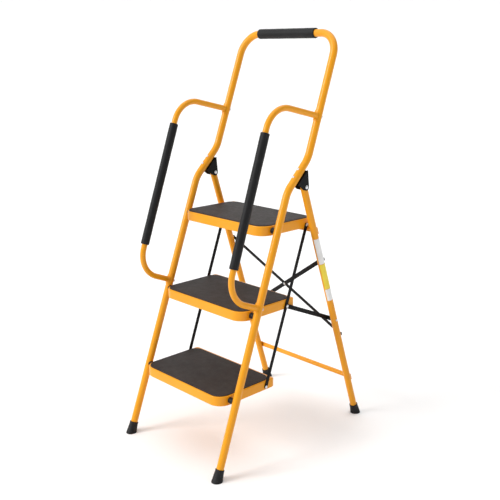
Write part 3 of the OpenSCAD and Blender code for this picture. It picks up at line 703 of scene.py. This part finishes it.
# ---------------------------------------------------------------- link bars and struts
STRUT = (leg_y(STRUT_Z), STRUT_Z)
for name, s in SIDES:
    link = plate(capsule(link_pin(0), link_pin(2), 6.5), side_place(s, LINK_X), BAR_T)
    piece(f"{name}_flat_link", [link], "dark_paint", f"{name}_link", f"{name}_link_bar")
    strut = plate(capsule(link_pin(1), STRUT, 7.5), side_place(s, STRUT_X), BAR_T)
    piece(f"{name}_flat_strut", [strut], "dark_paint", f"{name}_brace", f"{name}_strut")
    seat = at(s * STRUT_X, *STRUT)
    rivet = [dome(seat, (-s, 0, 0), 5.5, 1.5), turned(seat, (s, 0, 0), [(0, 3), (BAR_T, 3)], 20)]
    piece(f"{name}_strut_head", rivet, "zinc", f"{name}_brace", f"{name}_strut_rivet")

# ---------------------------------------------------------------- rear frame
LEG_UP, LEG_BACK = (Matrix.Rotation(LEG_LEAN, 3, "X") @ Vector(v) for v in ((0, 0, 1), (0, 1, 0)))
LEG_TOP = leg_run(HINGE[1]) + LEG_PAST_HINGE


def on_leg(run, back, across):
    """A point back mm behind the plane of the rear legs, run mm up it and across mm to the right."""
    return at(0, SPREAD, 0) + LEG_UP * run + LEG_BACK * back + Vector((across, 0, 0))


for name, s in SIDES:
    foot, axis = at(s * REAR, SPREAD, 0), leg_axis(s)
    a, b = foot + axis * leg_run(TUBE_START), foot + axis * LEG_TOP
    n = 24
    tube = sweep([a.lerp(b, k / n) for k in range(n + 1)], LEG_R, 44)
    piece(f"{name}_leg_tube", [tube], "enamel", "rear_frame", f"{name}_rear_leg")

PLUG = [(-5, 10.7), (-0.1, 10.7), (0, 11.9), (1.2, 11.9), (1.8, 11.2), (2.0, 9.5)]
plugs = [turned(at(s * REAR, SPREAD, 0) + leg_axis(s) * LEG_TOP, leg_axis(s), PLUG, 36) for _, s in SIDES]
piece("leg_end_plugs", plugs, "black_plastic", "rear_frame", "leg_plugs")


def crossbar(z, r):
    """A tube whose ends are pressed flat against the legs."""
    end, flat, press = leg_x(z) + 5, 12, 15
    mid = LEG_R + FIT + 2
    def rounded(value, size, power):
        return size * abs(value) ** power * (1 if value > 0 else -1) if abs(value) > 1e-9 else 0
    def section(x, f):
        """The outline at x, where f goes from 0, round, to 1, flat."""
        pts = []
        for j in range(40):
            c, sn = cos(2 * pi * j / 40), sin(2 * pi * j / 40)
            out = r * c * (1 - f) + rounded(c, 2.0, 0.28) * f
            up = r * sn * (1 - f) + rounded(sn, r * 1.45, 0.8) * f
            pts.append(on_leg(leg_run(z) + up, mid + out, x))
        return pts
    stations = [(-end, 1), (-end + flat, 1)]
    for k in range(1, 9):
        q = k / 8
        stations.append((-end + flat + press * q, 1 - q * q * (3 - 2 * q)))
    stations += [(-x, f) for x, f in reversed(stations)]
    return [loft([section(x, f) for x, f in stations])]


piece("upper_cross_tube", crossbar(*UPPER_BAR), "enamel", "rear_frame", "upper_crossbar", angle=55)
piece("lower_cross_tube", crossbar(*LOWER_BAR), "enamel", "rear_frame", "lower_crossbar", angle=55)
rivets = []
for z, _ in (UPPER_BAR, LOWER_BAR):
    for _, s in SIDES:
        rivets.append(dome(on_leg(leg_run(z), LEG_R + FIT + 4, s * leg_x(z)), LEG_BACK, 4.5, 2.5))
piece("crossbar_rivet_heads", rivets, "zinc", "rear_frame", "crossbar_rivets")

# The X brace: the rising bar lies against the legs, and the falling bar behind it
Z_LO, Z_HI = BRACE_Z
rising_back = LEG_R + FIT
falling_back = rising_back + BRACE_T + FIT


def brace(way, back):
    """One diagonal; way is 1 when it rises to the right."""
    low = (-way * leg_x(Z_LO), leg_run(Z_LO))
    high = (way * leg_x(Z_HI), leg_run(Z_HI))
    return plate(capsule(low, high, BRACE_R), lambda u, v, w: on_leg(v, back + w, u), BRACE_T, 0.3)


piece("brace_flat_a", [brace(1, rising_back)], "dark_paint", "rear_frame", "brace_bar_rising")
piece("brace_flat_b", [brace(-1, falling_back)], "dark_paint", "rear_frame", "brace_bar_falling")
bolts, washers = [], []
for way, back in ((1, rising_back), (-1, falling_back)):
    for s, z in ((way, Z_HI), (-way, Z_LO)):
        bolts += nut(on_leg(leg_run(z), back + BRACE_T, s * leg_x(z)), LEG_BACK, 4.5, 5.5)
WASHER = [(0, 5.2), (0.3, 5.5), (1.7, 5.5), (2.0, 5.2)]
for s, z in ((-1, Z_HI), (1, Z_LO)):
    washers.append(turned(on_leg(leg_run(z), rising_back, s * leg_x(z)), LEG_BACK, WASHER, 28))
piece("brace_bolt_heads", bolts, "dark_paint", "rear_frame", "brace_bolts")
piece("brace_washers", washers, "zinc", "rear_frame", "brace_spacers")
share = leg_x(Z_LO) / (leg_x(Z_LO) + leg_x(Z_HI))
crossing = leg_run(Z_LO) + (leg_run(Z_HI) - leg_run(Z_LO)) * share
rivet = [dome(on_leg(crossing, falling_back + BRACE_T, 0), LEG_BACK, 5.0, 2.0),
         dome(on_leg(crossing, rising_back, 0), -LEG_BACK, 5.0, 2.0)]
piece("brace_centre_rivet", rivet, "zinc", "rear_frame", "brace_rivet")

# Spacers that the struts pivot on, and the bolts through them
spacers, bolts = [], []
for _, s in SIDES:
    prof = [(0, 6.6), (0, 7.5), (0.5, 8), (leg_x(STRUT_Z) - 4 - SPACER_X, 8)]
    spacers.append(turned(at(s * SPACER_X, *STRUT), (s, 0, 0), prof, 32, (True, False)))
    start, seat = SPACER_X + 0.5, leg_x(STRUT_Z) + LEG_R + 0.3
    bolts.append(turned(at(s * start, *STRUT), (s, 0, 0), [(0, 3), (seat + 0.7 - start, 3)], 20))
    bolts.append(dome(at(s * seat, *STRUT), (s, 0, 0), 4.2, 2.0))
piece("strut_bolt_heads", bolts, "zinc", "rear_frame", "strut_bolts")
piece("strut_pivot_spacers", spacers, "black_plastic", "rear_frame", "strut_spacers")

# ---------------------------------------------------------------- stage, lights, camera
# The floor runs away from the camera and curves up into a backdrop, in metres
FLOOR_NEAR, FLOOR_FAR, CURVE_R, BACKDROP_TOP, HALF_WIDTH = -30, 18, 8, 30, 45
DIAGONAL = 0.7071
line = [(FLOOR_NEAR, 0), (FLOOR_FAR, 0)]
for g in range(10, 91, 10):
    line.append((FLOOR_FAR + CURVE_R * sin(radians(g)), CURVE_R - CURVE_R * cos(radians(g))))
line.append((FLOOR_FAR + CURVE_R, BACKDROP_TOP))
verts = []
for along, z in line:
    for across in (-HALF_WIDTH, HALF_WIDTH):
        verts.append((across * DIAGONAL - along * DIAGONAL, across * DIAGONAL + along * DIAGONAL, z))
floor_mesh = bpy.data.meshes.new("floor")
floor_mesh.from_pydata(verts, [], [(2 * k, 2 * k + 1, 2 * k + 3, 2 * k + 2) for k in range(len(line) - 1)])
floor_mat = bpy.data.materials.new("floor")
floor_mat.use_nodes = True
floor_shader = floor_mat.node_tree.nodes["Principled BSDF"]
floor_shader.inputs["Base Color"].default_value = (0.93, 0.93, 0.93, 1)
floor_shader.inputs["Roughness"].default_value = 0.9
floor_shader.inputs["Specular IOR Level"].default_value = 0.1
floor_mesh.materials.append(floor_mat)
floor = bpy.data.objects.new("floor", floor_mesh)
bpy.context.scene.collection.objects.link(floor)

world = bpy.data.worlds.new("studio")
bpy.context.scene.world = world
world.use_nodes = True
background = world.node_tree.nodes["Background"]
background.inputs[0].default_value = (1.0, 1.0, 1.0, 1)
background.inputs[1].default_value = 0.42


def sun_light(name, source, angle, power):
    """A soft sun that shines from the direction source; angle is its width in degrees."""
    light = bpy.data.lights.new(name, "SUN")
    light.energy = power
    light.angle = radians(angle)
    o = bpy.data.objects.new(name, light)
    o.rotation_mode = "QUATERNION"
    o.rotation_quaternion = (-Vector(source)).to_track_quat("-Z", "Y")
    bpy.context.scene.collection.objects.link(o)


sun_light("key", (-0.5, -1.0, 0.6), 25, 2.2)
sun_light("top", (-0.1, 0.1, 1.0), 80, 1.6)

cam_data = bpy.data.cameras.new("camera")
cam_data.lens = 55.42
cam_data.sensor_width = 36
cam_data.clip_start, cam_data.clip_end = 0.05, 200
cam = bpy.data.objects.new("camera", cam_data)
cam.location = (1.8680, -1.8054, 1.3299)
cam.rotation_mode = "QUATERNION"
cam.rotation_quaternion = Vector((-0.6922, 0.6765, -0.2514)).to_track_quat("-Z", "Y")
bpy.context.scene.collection.objects.link(cam)
bpy.context.scene.camera = cam
bpy.context.scene.view_settings.view_transform = "Standard"
